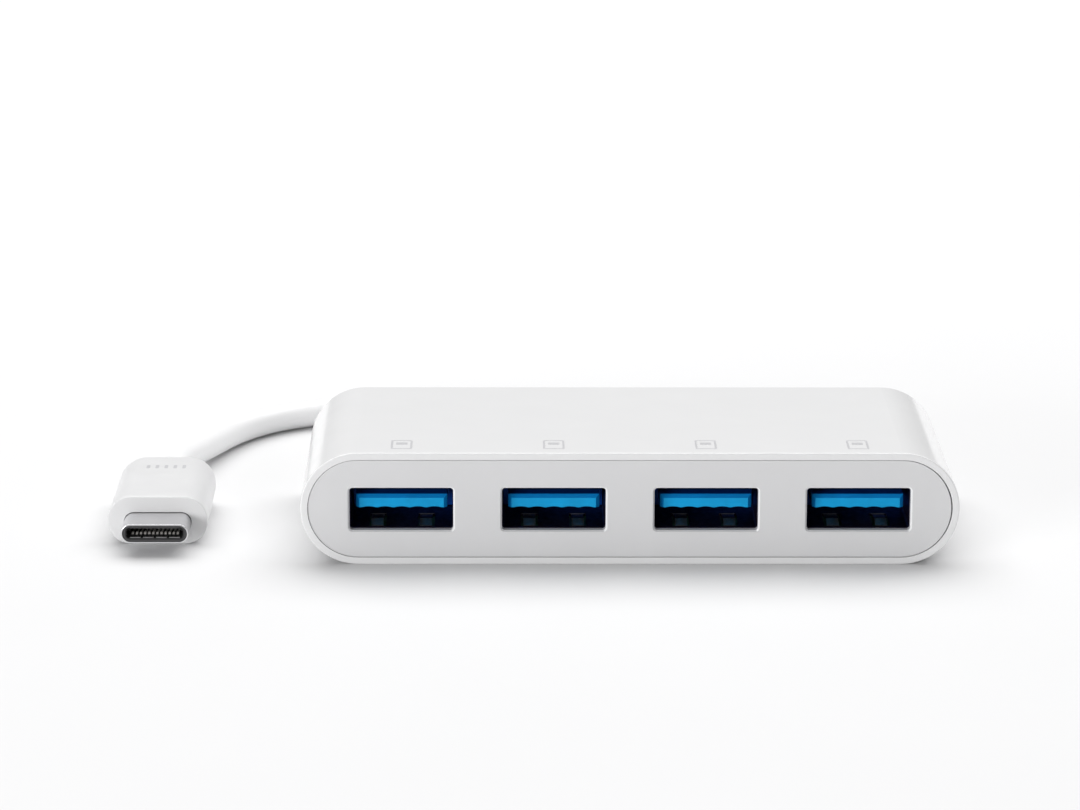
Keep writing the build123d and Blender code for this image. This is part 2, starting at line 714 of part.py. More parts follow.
def make_plug_inner_can():
    """The folded metal can round the plug's board."""
    outer = RectangleRounded(PLUG_CAVITY[0] - 0.1, PLUG_CAVITY[1] - 0.1, 1.1)
    inner = RectangleRounded(PLUG_CAVITY[0] - 0.6, PLUG_CAVITY[1] - 0.6, 0.9)
    return along_y(outer - inner, CAVITY_FROM + 0.2, CAVITY_TO - CAVITY_FROM - 0.7)


def make_plug_cable_end():
    """The jacketed stretch inside the cover, from its back to the plug's board."""
    return along_y(Circle(CABLE_DIAMETER / 2), CABLE_END_FROM, PLUG_LENGTH - CABLE_END_FROM)


# --- the assembly -------------------------------------------------------------------------------

def build_body():
    nodes["shell_tube"] = make_shell_tube()
    nodes["front_plate"] = make_front_plate()
    nodes["rear_plate"] = make_rear_plate()


def build_sockets():
    for number, x in enumerate(PORT_XS, start=1):
        nodes[f"port_shell_{number}"] = make_port_shell(x)
        nodes[f"port_insulator_{number}"] = make_port_insulator(x)
        nodes[f"port_contacts_{number}"] = group(contact_strips(x))
        nodes[f"port_pin_comb_{number}"] = make_port_comb(x)


def build_electronics():
    nodes["main_board"] = make_main_board()
    nodes["hub_controller"] = make_hub_controller()
    nodes["flash_memory"] = make_flash_memory()
    nodes["crystal"] = make_crystal()
    nodes["voltage_regulator"] = make_voltage_regulator()
    nodes["power_inductor"] = make_power_inductor()
    nodes["resettable_fuse"] = make_resettable_fuse()
    nodes["bulk_capacitors"] = make_bulk_capacitors()
    nodes["decoupling_capacitors"] = make_decoupling_capacitors()
    nodes["resistors"] = make_resistors()
    nodes["esd_arrays"] = make_esd_arrays()


def build_cable():
    nodes["strain_relief"] = make_strain_relief()
    nodes["cable_entry"] = make_cable_entry()
    nodes["cable_crimp"] = make_cable_crimp()
    nodes["wire_set"] = make_wire_set()
    nodes["usb_cable"] = make_usb_cable()


def build_plug():
    nodes["plug_cover"] = place_plug(make_plug_cover())
    nodes["plug_inner_can"] = place_plug(make_plug_inner_can())
    nodes["plug_cable_end"] = place_plug(make_plug_cable_end())
    nose = {
        "plug_shell": make_plug_shell(),
        "plug_carrier": make_plug_carrier(),
        "plug_contacts_upper": contact_row(1),
        "plug_contacts_lower": contact_row(-1),
        "plug_ground_springs": make_ground_springs(),
        "plug_latches": make_plug_latches(),
        "plug_board": make_plug_board(),
    }
    for name, part in nose.items():
        nodes[name] = place_plug(Pos(0, 0, -NOSE_DROP) * part)


def main():
    os.makedirs("parts", exist_ok=True)
    build_body()
    build_sockets()
    build_electronics()
    build_cable()
    build_plug()
    for name, part in nodes.items():
        part.label = name
        export_step(part, f"parts/{name}.step")
    print(len(nodes), "nodes written")


main()
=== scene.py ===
import json
import math

import bmesh
import bpy
from mathutils import Matrix, Quaternion, Vector


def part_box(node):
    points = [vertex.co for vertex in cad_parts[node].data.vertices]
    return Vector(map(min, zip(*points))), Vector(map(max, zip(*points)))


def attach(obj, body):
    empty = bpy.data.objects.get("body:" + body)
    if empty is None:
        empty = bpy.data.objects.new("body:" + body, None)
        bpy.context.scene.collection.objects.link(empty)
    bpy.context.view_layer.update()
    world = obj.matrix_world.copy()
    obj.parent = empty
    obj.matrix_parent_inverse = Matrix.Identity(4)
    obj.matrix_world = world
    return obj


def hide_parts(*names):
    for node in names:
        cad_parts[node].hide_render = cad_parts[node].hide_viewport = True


# A white USB hub with four blue-tongued sockets in front and a short cable that comes round its left
# end to a USB-C plug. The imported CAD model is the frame; everything here is in metres, +Z up.

MM = 0.001
BODY = "root"

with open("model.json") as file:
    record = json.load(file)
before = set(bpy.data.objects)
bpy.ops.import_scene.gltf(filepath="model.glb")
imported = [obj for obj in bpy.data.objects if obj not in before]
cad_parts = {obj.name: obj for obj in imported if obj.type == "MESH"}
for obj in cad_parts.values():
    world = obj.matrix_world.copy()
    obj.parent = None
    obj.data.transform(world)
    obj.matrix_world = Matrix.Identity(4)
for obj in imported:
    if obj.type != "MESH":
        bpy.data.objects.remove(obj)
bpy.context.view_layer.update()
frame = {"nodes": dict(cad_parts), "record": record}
scene = bpy.context.scene
nodes = frame["nodes"]

# --- places, read from the frame ----------------------------------------------------------------

tube_low, tube_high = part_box("shell_tube")
cover_low, cover_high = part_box("plug_cover")
TOP_Z = tube_high.z
FRONT_Y = tube_low.y
REAR_Y = tube_high.y
PLATE_BACK_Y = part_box("front_plate")[1].y
PORT_NUMBERS = range(1, 5)
PORT_XS = [sum(c.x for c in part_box(f"port_shell_{n}")) / 2 for n in PORT_NUMBERS]
PORT_Z = 6.9 * MM                  # the height of the sockets' middle, as in the CAD model

# --- the cable ----------------------------------------------------------------------------------

CABLE_DIAMETER = 3.5 * MM
CABLE_BEVEL_STEPS = 10
CABLE_SPAN_STEPS = 20
CABLE_ROUTE = [
    (0.0, 0.02575, 0.007),
    (0.0, 0.0312, 0.007),
    (-0.0016, 0.0385, 0.0062),
    (-0.0059, 0.0453, 0.0046),
    (-0.0122, 0.0502, 0.0029),
    (-0.0203, 0.0530, 0.0019),
    (-0.0296, 0.0533, 0.0018),
    (-0.0387, 0.0509, 0.0018),
    (-0.0459, 0.0471, 0.0018),
    (-0.0510, 0.0407, 0.00185),
    (-0.0544, 0.0311, 0.0022),
    (-0.0580, 0.01915, 0.0030),
    (-0.0580, 0.01255, 0.0030),
]

# --- camera -------------------------------------------------------------------------------------

CAMERA_TARGET = Vector((-10.97 * MM, FRONT_Y, 20.02 * MM))
CAMERA_DISTANCE = 0.5153
CAMERA_ELEVATION = math.radians(14.5)
CAMERA_AZIMUTH = math.radians(-0.543)
CAMERA_ROLL = math.radians(0.163)
CAMERA_LENS = 142.6
SENSOR_WIDTH = 36.0
CLIP_NEAR = 0.01
CLIP_FAR = 50


def add_camera():
    data = bpy.data.cameras.new("camera")
    data.lens = CAMERA_LENS
    data.sensor_width = SENSOR_WIDTH
    camera = bpy.data.objects.new("camera", data)
    scene.collection.objects.link(camera)
    flat = math.cos(CAMERA_ELEVATION)
    back = Vector((
        math.sin(CAMERA_AZIMUTH) * flat,
        -math.cos(CAMERA_AZIMUTH) * flat,
        math.sin(CAMERA_ELEVATION),
    ))
    camera.location = CAMERA_TARGET + back * CAMERA_DISTANCE
    camera.rotation_mode = "QUATERNION"
    aim = (-back).to_track_quat("-Z", "Y")
    camera.rotation_quaternion = aim @ Quaternion((0, 0, 1), CAMERA_ROLL)
    data.clip_start = CLIP_NEAR
    data.clip_end = CLIP_FAR
    scene.camera = camera


# --- material helpers ---------------------------------------------------------------------------

COLOR_SPAN = (0.35, 0.65)          # the stretch of the noise over which a colour changes
ROUGHNESS_SPAN = (0.3, 0.7)        # and that over which a roughness changes


class Shader:
    """A Principled material whose colour, roughness and bump can be built from noise."""

    def __init__(self, name, color, roughness, **settings):
        self.material = bpy.data.materials.new(name)
        self.material.use_nodes = True
        self.tree = self.material.node_tree
        self.bsdf = self.tree.nodes["Principled BSDF"]
        self.bsdf.inputs["Base Color"].default_value = (*color, 1)
        self.bsdf.inputs["Roughness"].default_value = roughness
        for socket, value in settings.items():
            self.bsdf.inputs[socket.replace("_", " ")].default_value = value
        self.color = color
        self.coordinates = self.add("ShaderNodeTexCoord")
        self.last_bump = None

    def add(self, kind, **inputs):
        node = self.tree.nodes.new(kind)
        for socket, value in inputs.items():
            node.inputs[socket].default_value = value
        return node

    def link(self, source, target):
        self.tree.links.new(source, target)

    def noise(self, size, detail=2.0, stretch=(1, 1, 1)):
        """Noise whose features are about that size in metres."""
        mapping = self.add("ShaderNodeMapping", Scale=stretch)
        self.link(self.coordinates.outputs["Object"], mapping.inputs["Vector"])
        noise = self.add("ShaderNodeTexNoise", Scale=1.0 / size, Detail=detail)
        self.link(mapping.outputs["Vector"], noise.inputs["Vector"])
        return noise.outputs["Fac"]

    def ramp(self, factor, low, high):
        """A colour that runs from low to high as the factor runs over COLOR_SPAN."""
        ramp = self.add("ShaderNodeValToRGB")
        for stop, place, color in zip(ramp.color_ramp.elements, COLOR_SPAN, (low, high)):
            stop.position = place
            stop.color = (*color, 1)
        self.link(factor, ramp.inputs["Fac"])
        return ramp.outputs["Color"]

    def vary_color(self, size, amount):
        low = [c * (1 - amount) for c in self.color]
        high = [min(1.0, c * (1 + amount)) for c in self.color]
        self.link(self.ramp(self.noise(size, detail=3.0), low, high), self.bsdf.inputs["Base Color"])

    def vary_roughness(self, size, low, high):
        spread = self.add("ShaderNodeMapRange")
        spread.inputs["From Min"].default_value = ROUGHNESS_SPAN[0]
        spread.inputs["From Max"].default_value = ROUGHNESS_SPAN[1]
        spread.inputs["To Min"].default_value = low
        spread.inputs["To Max"].default_value = high
        self.link(self.noise(size, detail=4.0), spread.inputs["Value"])
        self.link(spread.outputs["Result"], self.bsdf.inputs["Roughness"])

    def bump(self, size, height, detail=2.0, stretch=(1, 1, 1)):
        """Surface relief that high in metres, stacked on any relief added before."""
        bump = self.add("ShaderNodeBump", Strength=1.0, Distance=height)
        self.link(self.noise(size, detail, stretch), bump.inputs["Height"])
        if self.last_bump:
            self.link(self.last_bump, bump.inputs["Normal"])
        self.last_bump = bump.outputs["Normal"]
        self.link(self.last_bump, self.bsdf.inputs["Normal"])


# --- materials ----------------------------------------------------------------------------------

def glossy_shell():
    shader = Shader(
        "glossy_shell", (0.80, 0.80, 0.805), 0.18,
        Specular_IOR_Level=0.42, Coat_Weight=0.22, Coat_Roughness=0.05,
    )
    shader.vary_color(18 * MM, 0.004)
    shader.vary_roughness(5 * MM, 0.16, 0.21)
    shader.bump(2.4 * MM, 0.0006 * MM, detail=1.0)
    return shader.material


def satin_plate():
    shader = Shader("satin_plate", (0.63, 0.63, 0.638), 0.42, IOR=1.48)
    shader.vary_color(9 * MM, 0.006)
    shader.vary_roughness(3 * MM, 0.38, 0.50)
    shader.bump(0.11 * MM, 0.004 * MM)
    return shader.material


def plug_white():
    shader = Shader(
        "plug_white", (0.71, 0.71, 0.715), 0.30,
        Specular_IOR_Level=0.4, Coat_Weight=0.10, Coat_Roughness=0.15,
    )
    shader.vary_color(7 * MM, 0.01)
    shader.vary_roughness(2.5 * MM, 0.29, 0.38)
    shader.bump(0.9 * MM, 0.002 * MM, detail=1.0)
    return shader.material


def cable_jacket():
    shader = Shader(
        "cable_jacket", (0.80, 0.80, 0.805), 0.38, Specular_IOR_Level=0.4,
        Subsurface_Weight=1.0, Subsurface_Radius=(1.0, 1.0, 1.0), Subsurface_Scale=3.0 * MM,
    )
    shader.vary_color(6 * MM, 0.008)
    shader.vary_roughness(2 * MM, 0.34, 0.46)
    shader.bump(0.22 * MM, 0.005 * MM)
    shader.bump(2.6 * MM, 0.012 * MM, detail=1.0)
    return shader.material


# The tube's end faces in a greyer, satin copy of the shell's white: the satin is their finish, the grey
# is painted shade.
def shaded_satin_rim():
    shader = Shader("shaded_satin_rim", (0.735, 0.735, 0.74), 0.34)
    shader.vary_color(9 * MM, 0.005)
    shader.bump(0.12 * MM, 0.002 * MM)
    return shader.material


# A lighter, glossier copy of the plate's white for the cut-outs' top and right bevels: a painted
# highlight.
def plate_edge_highlight():
    shader = Shader("plate_edge_highlight", (0.88, 0.88, 0.885), 0.25, Coat_Weight=0.2)
    shader.vary_color(3 * MM, 0.01)
    shader.bump(0.2 * MM, 0.002 * MM)
    return shader.material


# Far lighter than the sockets' near-black metal, for the leaf springs' front faces: a painted
# highlight.
def lit_leaf_metal():
    shader = Shader("lit_leaf_metal", (0.42, 0.43, 0.46), 0.30, Metallic=1.0)
    shader.vary_color(0.5 * MM, 0.10)
    shader.bump(0.12 * MM, 0.002 * MM)
    return shader.material


# The sockets' shell metal, darkened almost to black so that the inside of each socket is dark: painted
# shade.
def port_metal():
    shader = Shader("port_metal", (0.042, 0.030, 0.058), 0.34, Metallic=1.0)
    shader.vary_color(1.5 * MM, 0.15)
    shader.vary_roughness(0.7 * MM, 0.28, 0.46)
    shader.bump(0.35 * MM, 0.004 * MM, stretch=(1, 0.05, 1))
    return shader.material


def blue_plastic(name, color):
    shader = Shader(name, color, 0.38, Specular_IOR_Level=0.15)
    shader.vary_color(2.2 * MM, 0.06)
    shader.vary_roughness(0.9 * MM, 0.30, 0.44)
    shader.bump(0.12 * MM, 0.003 * MM)
    return shader.material


def black_insulator():
    shader = Shader("black_insulator", (0.010, 0.010, 0.011), 0.45)
    shader.vary_color(1.2 * MM, 0.2)
    shader.bump(0.10 * MM, 0.004 * MM)
    return shader.material


def contact_gold():
    shader = Shader("contact_gold", (0.80, 0.60, 0.30), 0.24, Metallic=1.0)
    shader.vary_color(0.6 * MM, 0.08)
    shader.vary_roughness(0.4 * MM, 0.29, 0.36)
    shader.bump(0.08 * MM, 0.0015 * MM)
    return shader.material


def contact_bright():
    shader = Shader("contact_bright", (0.64, 0.62, 0.59), 0.32, Metallic=0.3)
    shader.vary_color(0.4 * MM, 0.05)
    shader.vary_roughness(0.3 * MM, 0.29, 0.36)
    shader.bump(0.08 * MM, 0.001 * MM)
    return shader.material


# Near-black for the contacts' cut ends and the latches' front faces inside the plug's mouth: painted
# shade.
def contact_painted_shade():
    shader = Shader("contact_painted_shade", (0.012, 0.012, 0.012), 0.5)
    shader.vary_color(0.4 * MM, 0.2)
    shader.bump(0.08 * MM, 0.001 * MM)
    return shader.material


def plug_metal():
    shader = Shader("plug_metal", (0.70, 0.70, 0.715), 0.20, Metallic=1.0)
    shader.vary_color(2 * MM, 0.03)
    shader.vary_roughness(0.8 * MM, 0.15, 0.25)
    shader.bump(0.25 * MM, 0.0012 * MM, stretch=(1, 0.08, 1))
    return shader.material


def bare_metal():
    shader = Shader("bare_metal", (0.60, 0.60, 0.61), 0.35, Metallic=1.0)
    shader.vary_color(1 * MM, 0.05)
    shader.bump(0.15 * MM, 0.002 * MM)
    return shader.material


def circuit_board():
    shader = Shader("circuit_board", (0.012, 0.12, 0.05), 0.30)
    shader.vary_color(1.1 * MM, 0.25)
    shader.bump(0.4 * MM, 0.01 * MM)
    return shader.material


def plain_component(name, color, roughness=0.5):
    shader = Shader(name, color, roughness)
    shader.vary_color(0.7 * MM, 0.12)
    shader.bump(0.12 * MM, 0.004 * MM)
    return shader.material


def carrier_grey():
    shader = Shader("carrier_grey", (0.030, 0.030, 0.032), 0.45)
    shader.vary_color(0.8 * MM, 0.12)
    shader.bump(0.10 * MM, 0.002 * MM)
    return shader.material


def printed_grey():
    shader = Shader("printed_grey", (0.52, 0.52, 0.535), 0.35)
    shader.vary_color(0.25 * MM, 0.05)
    shader.bump(0.1 * MM, 0.001 * MM)
    return shader.material


def floor_white():
    shader = Shader("floor_white", (0.75, 0.75, 0.754), 0.7)
    shader.vary_color(60 * MM, 0.004)
    return shader.material


MATERIALS = {
    "glossy_shell": glossy_shell(),
    "satin_plate": satin_plate(),
    "port_metal": port_metal(),
    "port_blue": blue_plastic("port_blue", (0.001, 0.30, 0.62)),
    "contact_gold": contact_gold(),
    "contact_bright": contact_bright(),
    "black_insulator": black_insulator(),
    "carrier_grey": carrier_grey(),
    "circuit_board": circuit_board(),
    "component_metal": bare_metal(),
    "ferrite": plain_component("ferrite", (0.05, 0.05, 0.053), 0.6),
    "fuse_green": plain_component("fuse_green", (0.03, 0.18, 0.07)),
    "tantalum": plain_component("tantalum", (0.60, 0.36, 0.06)),
    "ceramic": plain_component("ceramic", (0.42, 0.30, 0.18)),
    "cable_jacket": cable_jacket(),
    "wire_insulation": plain_component("wire_insulation", (0.30, 0.05, 0.05), 0.4),
    "plug_white": plug_white(),
    "plug_metal": plug_metal(),
}


def paint_cad_nodes():
    """Every CAD node takes the material of its slot in the record."""
    for part in frame["record"]["subparts"]:
        mesh = nodes[part["node"]].data
        mesh.materials.clear()
        mesh.materials.append(MATERIALS[part["material_slot"]])


def repaint_faces(node, material, wanted):
    """The faces of a CAD node that pass the test take a further material."""
    mesh = nodes[node].data
    index = len(mesh.materials)
    mesh.materials.append(material)
    for face in mesh.polygons:
        if wanted(face.center, face.normal):
            face.material_index = index


TURNED = 0.3                       # the least part of a normal along the way a face is turned
SQUARE = 0.9                       # and along the way that it faces squarely
CUTOUT_HALF = (6.6 * MM, 3.0 * MM)
LEAF_OFFSET = 2.95 * MM
LEAF_HALF = 0.78 * MM
LEAF_TOP_Z = PORT_Z - 1.4 * MM
DEEP_Y = PLATE_BACK_Y + 3.0 * MM   # behind this, a socket's inside is in the dark


def on_lit_cutout_edge(center, normal):
    """The bevels along the top and the right of each cut-out in the front plate, painted lighter as a
    highlight.
    """
    beside = min(abs(center.x - x) for x in PORT_XS)
    inside = beside < CUTOUT_HALF[0] and abs(center.z - PORT_Z) < CUTOUT_HALF[1]
    return inside and normal.y < -TURNED and (normal.x < -TURNED or normal.z < -TURNED)


def on_lit_leaf_spring(center, normal):
    """The raised front part of the leaf springs in each socket's floor, painted lighter as a highlight.
    """
    beside = min(abs(abs(center.x - x) - LEAF_OFFSET) for x in PORT_XS)
    in_front = center.y < DEEP_Y and normal.y < -TURNED
    return in_front and beside < LEAF_HALF and center.z < LEAF_TOP_Z


def on_shaded_tongue_bevel(center, normal):
    """The bevels along the top and the two ends of each socket's tongue, which take a darker blue as
    painted shade.
    """
    return normal.y < -TURNED and (normal.z > TURNED or abs(normal.x) > TURNED)


def in_painted_tongue_shade(center, normal):
    """The upper side of each socket's moulding, and all of it that lies deep in the socket, which take
    a dark blue as painted shade.
    """
    return normal.z > SQUARE or center.y > DEEP_Y


def on_contact_end(center, normal):
    """The cut ends of the plug's contacts, and in the upper row all that is turned to the front, which
    take near-black as painted shade.
    """
    in_upper_row = center.z > PLUG_FRONT.z - NOSE_DROP
    return normal.y < (-TURNED if in_upper_row else -SQUARE)


def repaint_details():
    # The tube's end faces take the greyer copy as painted shade.
    repaint_faces("shell_tube", shaded_satin_rim(), lambda center, normal: abs(normal.y) > SQUARE)
    repaint_faces("front_plate", plate_edge_highlight(), on_lit_cutout_edge)
    leaf = lit_leaf_metal()
    bevel = blue_plastic("port_blue_bevel_shaded", (0.003, 0.205, 0.56))
    shade = blue_plastic("port_blue_painted_shade", (0.002, 0.06, 0.36))
    for number in PORT_NUMBERS:
        repaint_faces(f"port_shell_{number}", leaf, on_lit_leaf_spring)
        repaint_faces(f"port_insulator_{number}", bevel, on_shaded_tongue_bevel)
        repaint_faces(f"port_insulator_{number}", shade, in_painted_tongue_shade)
    # Near-black painted shade on the plug's contact ends and on the latches' front faces.
    contact_shade = contact_painted_shade()
    for row in ("lower", "upper"):
        repaint_faces(f"plug_contacts_{row}", contact_shade, on_contact_end)
    repaint_faces("plug_latches", contact_shade, lambda center, normal: normal.y < -TURNED)


# --- piece helpers ------------------------------------------------------------------------------

def new_piece(name, mesh, material, smooth=True):
    piece = bpy.data.objects.new(name, mesh)
    scene.collection.objects.link(piece)
    mesh.materials.append(material)
    for face in mesh.polygons:
        face.use_smooth = smooth
    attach(piece, BODY)
    return piece


def mesh_from(name, work):
    bmesh.ops.recalc_face_normals(work, faces=work.faces)
    mesh = bpy.data.meshes.new(name)
    work.to_mesh(mesh)
    work.free()
    return mesh


def bridge(work, ring_a, ring_b):
    count = len(ring_a)
    for i in range(count):
        j = (i + 1) % count
        work.faces.new((ring_a[i], ring_a[j], ring_b[j], ring_b[i]))


def add_skin(work, outlines):
    """A ring of vertices for each outline, with faces from each ring to the next."""
    rings = [[work.verts.new(point) for point in outline] for outline in outlines]
    for before, after in zip(rings, rings[1:]):
        bridge(work, before, after)
    return rings


def shade_edges(piece, degrees):
    """Edges sharper than that stay crisp under the smooth shading."""
    piece.modifiers.new("crisp", "EDGE_SPLIT").split_angle = math.radians(degrees)


def rounded_outline(half_width, half_height, radius, steps=12):
    """Points round a rectangle with rounded corners, the same number whatever its size."""
    radius = min(radius, half_width, half_height)
    points = []
    for corner, (sx, sz) in enumerate(((1, 1), (-1, 1), (-1, -1), (1, -1))):
        cx = sx * (half_width - radius)
        cz = sz * (half_height - radius)
        for i in range(steps + 1):
            angle = math.pi / 2 * (corner + i / steps)
            points.append((cx + radius * math.cos(angle), cz + radius * math.sin(angle)))
    return points


# --- cable --------------------------------------------------------------------------------------

def add_cable():
    data = bpy.data.curves.new("cable", "CURVE")
    data.dimensions = "3D"
    data.bevel_depth = CABLE_DIAMETER / 2
    data.bevel_resolution = CABLE_BEVEL_STEPS
    data.resolution_u = CABLE_SPAN_STEPS
    data.use_fill_caps = True
    spline = data.splines.new("NURBS")
    spline.points.add(len(CABLE_ROUTE) - 1)
    for point, place in zip(spline.points, CABLE_ROUTE):
        point.co = (*place, 1)
    spline.order_u = 3
    spline.use_endpoint_u = True
    cable = bpy.data.objects.new("cable", data)
    scene.collection.objects.link(cable)
    data.materials.append(MATERIALS["cable_jacket"])
    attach(cable, BODY)
    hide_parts("usb_cable")
    return cable


# --- strain relief ------------------------------------------------------------------------------

RELIEF_SEGMENTS = 72
RELIEF_LENGTH = CABLE_ROUTE[0][1] - REAR_Y
RELIEF_SINK = 0.1 * MM             # how far the sleeve starts inside the rear plate
RELIEF_BORE = (1.80 * MM, 1.77 * MM)  # the hole's radius at the plate and at the tip
SHOULDER_LENGTH = 1.4 * MM
SHOULDER_RADIUS = 3.5 * MM
RING_COUNT = 4
RING_RADIUS = 3.15 * MM
RING_SHRINK = 0.75 * MM            # how much smaller a ring past the last one would be
RING_PITCH = (RELIEF_LENGTH - SHOULDER_LENGTH) / RING_COUNT
SHOULDER_SHAPE = [                 # how far under the shoulder's radius, and how far along
    (0.10 * MM, -RELIEF_SINK),
    (0.00 * MM, 0.10 * MM),
    (0.00 * MM, SHOULDER_LENGTH - 0.15 * MM),
    (0.15 * MM, SHOULDER_LENGTH),
]
RING_SHAPE = [                     # how far under a ring's radius, and how far along it
    (0.42 * MM, 0.12 * MM),
    (0.42 * MM, 0.62 * MM),
    (0.08 * MM, 0.78 * MM),
    (0.00 * MM, 0.95 * MM),
    (0.08 * MM, RING_PITCH - 0.14 * MM),
    (0.20 * MM, RING_PITCH),
]


def relief_profile():
    """Radius along the sleeve: shoulder, then rings that shrink towards the tip."""
    profile = [(RELIEF_BORE[0], -RELIEF_SINK)]
    profile += [(SHOULDER_RADIUS - drop, along) for drop, along in SHOULDER_SHAPE]
    for ring in range(RING_COUNT):
        radius = RING_RADIUS - RING_SHRINK * ring / RING_COUNT
        start = SHOULDER_LENGTH + ring * RING_PITCH
        profile += [(radius - drop, start + along) for drop, along in RING_SHAPE]
    profile.append((RELIEF_BORE[1], RELIEF_LENGTH))
    return profile


def sleeve_circle(radius, along):
    points = []
    for i in range(RELIEF_SEGMENTS):
        angle = 2 * math.pi * i / RELIEF_SEGMENTS
        height = CABLE_ROUTE[0][2] + radius * math.sin(angle)
        points.append((radius * math.cos(angle), REAR_Y + along, height))
    return points


def add_strain_relief():
    work = bmesh.new()
    rings = add_skin(work, [sleeve_circle(*point) for point in relief_profile()])
    bridge(work, rings[-1], rings[0])
    mesh = mesh_from("relief_sleeve", work)
    piece = new_piece("relief_sleeve", mesh, MATERIALS["cable_jacket"])
    shade_edges(piece, degrees=50)
    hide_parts("strain_relief")
    return piece


# --- plug ---------------------------------------------------------------------------------------

PLUG_LENGTH = cover_high.y - cover_low.y
PLUG_HALF_WIDTH = (cover_high.x - cover_low.x) / 2
PLUG_HALF_HEIGHT = (cover_high.z - cover_low.z) / 2
PLUG_FRONT = Vector((cover_low.x + PLUG_HALF_WIDTH, cover_low.y, cover_low.z + PLUG_HALF_HEIGHT))
PLUG_TAPER = 0.1 * MM              # how much each side draws in towards the back
PLUG_CORNER = 2.85 * MM
CORNER_SLACK = 0.05 * MM           # half the least flat height between two corners
BACK_ROUND = (2.4 * MM, 3.0 * MM)  # the back's rounding seen from above: inwards, and along the plug
BACK_DROP = (0.9 * MM, 1.6 * MM)   # and seen from the side
BODY_STEPS = 14
BACK_STEPS = 20
COVER_EDGE = 0.14 * MM             # the small rounding round the front face
EDGE_STEPS = 4
EDGE_CORNER_SHARE = 0.6            # how much of it is taken off the corners' radius
NOSE_DROP = 0.2 * MM               # how far the metal shell sits under the cover's middle
NECK_HALF = (4.18 * MM, 1.26 * MM)  # the hole that the metal shell stands in
NECK_DEPTH = 1.2 * MM
NECK_EDGE = 0.02 * MM
CABLE_HOLE = CABLE_DIAMETER / 2 + 0.02 * MM
CABLE_HOLE_DEPTH = 0.6 * MM


def rounding(y, radius, reach):
    """How far the back end's rounding has drawn the side in at y."""
    start = PLUG_LENGTH - reach
    if y <= start:
        return 0.0
    along = min(1.0, (y - start) / reach)
    return radius * (1 - math.sqrt(1 - along * along))


def plug_section(y):
    """Half width, half height and corner radius of the cover at y behind its front face."""
    half_width = PLUG_HALF_WIDTH - PLUG_TAPER * y / PLUG_LENGTH - rounding(y, *BACK_ROUND)
    half_height = PLUG_HALF_HEIGHT - rounding(y, *BACK_DROP)
    return half_width, half_height, min(PLUG_CORNER, half_height - CORNER_SLACK)


def plug_ring(y, shrink=0.0):
    half_width, half_height, corner = plug_section(y)
    corner -= shrink * EDGE_CORNER_SHARE
    return [(x, y, z) for x, z in rounded_outline(half_width - shrink, half_height - shrink, corner)]


def neck_rings():
    """The shell's hole, from its floor out to the front face."""
    rings = []
    for depth, grow in ((NECK_DEPTH, 0.0), (NECK_EDGE, 0.0), (0.0, NECK_EDGE)):
        half_width, half_height = NECK_HALF[0] + grow, NECK_HALF[1] + grow
        outline = rounded_outline(half_width, half_height, half_height)
        rings.append([(x, depth, z - NOSE_DROP) for x, z in outline])
    return rings


def front_edge_rings():
    """From the front face round its edge to the sides."""
    rings = []
    for i in range(EDGE_STEPS, -1, -1):
        angle = math.pi / 2 * i / EDGE_STEPS
        rings.append(plug_ring(COVER_EDGE * (1 - math.sin(angle)), COVER_EDGE * (1 - math.cos(angle))))
    return rings


def side_rings():
    """Along the sides, in even steps, and round the back end, in steps that shrink."""
    reach = BACK_ROUND[1]
    straight = PLUG_LENGTH - reach - COVER_EDGE
    places = [COVER_EDGE + straight * i / BODY_STEPS for i in range(1, BODY_STEPS + 1)]
    for i in range(1, BACK_STEPS + 1):
        places.append(PLUG_LENGTH - reach * (1 - math.sin(math.pi / 2 * i / BACK_STEPS)))
    return [plug_ring(y) for y in places]


def cable_hole_rings():
    outline = rounded_outline(CABLE_HOLE, CABLE_HOLE, CABLE_HOLE)
    return [[(x, y, z) for x, z in outline] for y in (PLUG_LENGTH, PLUG_LENGTH - CABLE_HOLE_DEPTH)]


def plug_to_frame(mesh):
    """The plug's pieces are made along Y from the cover's front face, then put in their place."""
    mesh.transform(Matrix.Translation(PLUG_FRONT))


def add_plug_cover():
    work = bmesh.new()
    rings = add_skin(work, neck_rings() + front_edge_rings() + side_rings() + cable_hole_rings())
    work.faces.new(rings[0])
    work.faces.new(rings[-1])
    mesh = mesh_from("plug_grip", work)
    plug_to_frame(mesh)
    piece = new_piece("plug_grip", mesh, MATERIALS["plug_white"])
    shade_edges(piece, degrees=40)
    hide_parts("plug_cover")
    return piece


# --- printed marks ------------------------------------------------------------------------------

PRINT_HEIGHT = 0.015 * MM
PRINT_SINK = 0.01 * MM             # how far a mark reaches under the surface that it is on
PRINT_STEPS = 6
MARK_HALF = (1.3 * MM, 2.0 * MM)
MARK_LINE = 0.24 * MM
MARK_CORNER = 0.3 * MM
MARK_FROM_FRONT = 4.0 * MM
BAR_HALF = (0.676 * MM, 0.48 * MM)
BAR_CORNER = 0.1 * MM
BAR_PLACE = (0.0, 0.48 * MM)
DASH_COUNT = 5
DASH_PITCH = 1.13 * MM
DASH_HALF = (0.22 * MM, 0.75 * MM)
DASH_PLACE = (0.05 * MM, 14.2 * MM)


def print_outline(half_x, half_y, radius, height, place=(0.0, 0.0)):
    outline = rounded_outline(half_x, half_y, radius, steps=PRINT_STEPS)
    return [(x + place[0], y + place[1], height) for x, y in outline]


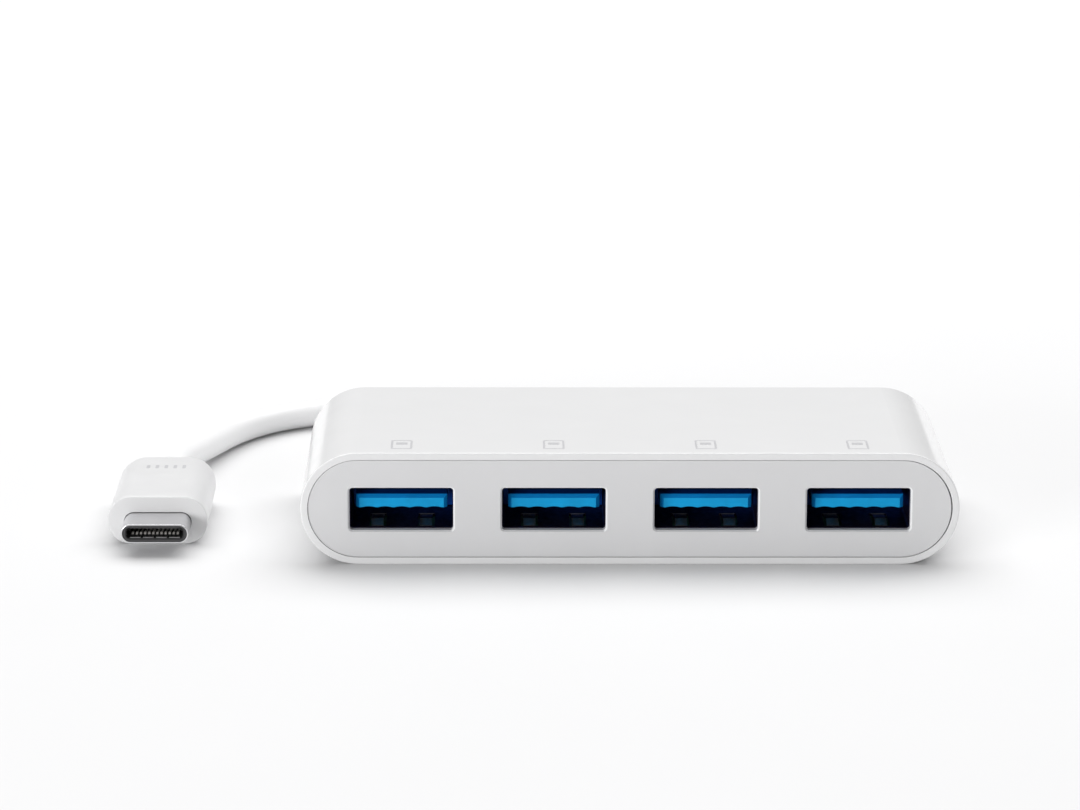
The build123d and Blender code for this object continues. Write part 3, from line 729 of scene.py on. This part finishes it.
def raised_line(work, half_x, half_y, radius, line):
    """A rounded rectangular line, as a thin raised ring."""
    outer = (half_x, half_y, radius)
    inner = (half_x - line, half_y - line, radius - line)
    low, high = -PRINT_SINK, PRINT_HEIGHT
    sides = ((outer, low), (outer, high), (inner, high), (inner, low))
    rings = add_skin(work, [print_outline(*shape, height) for shape, height in sides])
    bridge(work, rings[-1], rings[0])


def raised_pad(work, half_x, half_y, radius, surface, place):
    """A small filled rounded rectangle, as a thin raised pad."""
    heights = (surface - PRINT_SINK, surface + PRINT_HEIGHT)
    rings = add_skin(work, [print_outline(half_x, half_y, radius, height, place) for height in heights])
    work.faces.new(rings[0])
    work.faces.new(rings[-1])


def add_port_marks(material):
    """A plain socket pictogram printed on the tube above each socket."""
    for number, x in zip(PORT_NUMBERS, PORT_XS):
        work = bmesh.new()
        raised_line(work, *MARK_HALF, MARK_CORNER, MARK_LINE)
        raised_pad(work, *BAR_HALF, BAR_CORNER, 0.0, BAR_PLACE)
        mesh = mesh_from(f"port_mark_{number}", work)
        mesh.transform(Matrix.Translation((x, FRONT_Y + MARK_FROM_FRONT, TOP_Z)))
        new_piece(f"port_mark_{number}", mesh, material, smooth=False)


def add_plug_mark(material):
    """A row of plain dashes printed across the back half of the plug's cover."""
    work = bmesh.new()
    middle, back = DASH_PLACE
    for i in range(DASH_COUNT):
        place = (middle + (i - (DASH_COUNT - 1) / 2) * DASH_PITCH, back)
        raised_pad(work, *DASH_HALF, DASH_HALF[0], PLUG_HALF_HEIGHT, place)
    mesh = mesh_from("plug_mark", work)
    plug_to_frame(mesh)
    return new_piece("plug_mark", mesh, material, smooth=False)


# --- stage --------------------------------------------------------------------------------------

FLOOR_SIZE = 4.0
WORLD_STRENGTH = 0.32
LIGHT_TARGET = Vector((-0.01, 0.0, 0.0))
OVERHEAD_PLACE = Vector((0.10, 0.65, 1.25))
OVERHEAD_SIZE = (2.4, 1.3)
OVERHEAD_POWER = 31.5
FRONT_PLACE = Vector((-0.60, -0.75, 0.15))
FRONT_SIZE = (0.5, 0.25)
FRONT_POWER = 5.2


def add_floor():
    work = bmesh.new()
    bmesh.ops.create_grid(work, x_segments=1, y_segments=1, size=FLOOR_SIZE)
    mesh = bpy.data.meshes.new("floor")
    work.to_mesh(mesh)
    work.free()
    floor = bpy.data.objects.new("floor", mesh)
    scene.collection.objects.link(floor)
    mesh.materials.append(floor_white())


def add_area_light(name, place, size, power):
    data = bpy.data.lights.new(name, "AREA")
    data.shape = "RECTANGLE"
    data.size, data.size_y = size
    data.energy = power
    light = bpy.data.objects.new(name, data)
    scene.collection.objects.link(light)
    light.location = place
    light.rotation_mode = "QUATERNION"
    light.rotation_quaternion = (LIGHT_TARGET - place).to_track_quat("-Z", "Y")


def add_lights():
    world = bpy.data.worlds.new("studio")
    world.use_nodes = True
    background = world.node_tree.nodes["Background"]
    background.inputs["Color"].default_value = (1, 1, 1, 1)
    background.inputs["Strength"].default_value = WORLD_STRENGTH
    scene.world = world
    add_area_light("overhead", OVERHEAD_PLACE, OVERHEAD_SIZE, OVERHEAD_POWER)
    add_area_light("front_left", FRONT_PLACE, FRONT_SIZE, FRONT_POWER)


# --- the scene ----------------------------------------------------------------------------------

scene.view_settings.view_transform = "Standard"
add_camera()
add_lights()
add_floor()
paint_cad_nodes()
repaint_details()
print_material = printed_grey()
add_port_marks(print_material)
cable = add_cable()
sleeve = add_strain_relief()
grip = add_plug_cover()
mark = add_plug_mark(print_material)
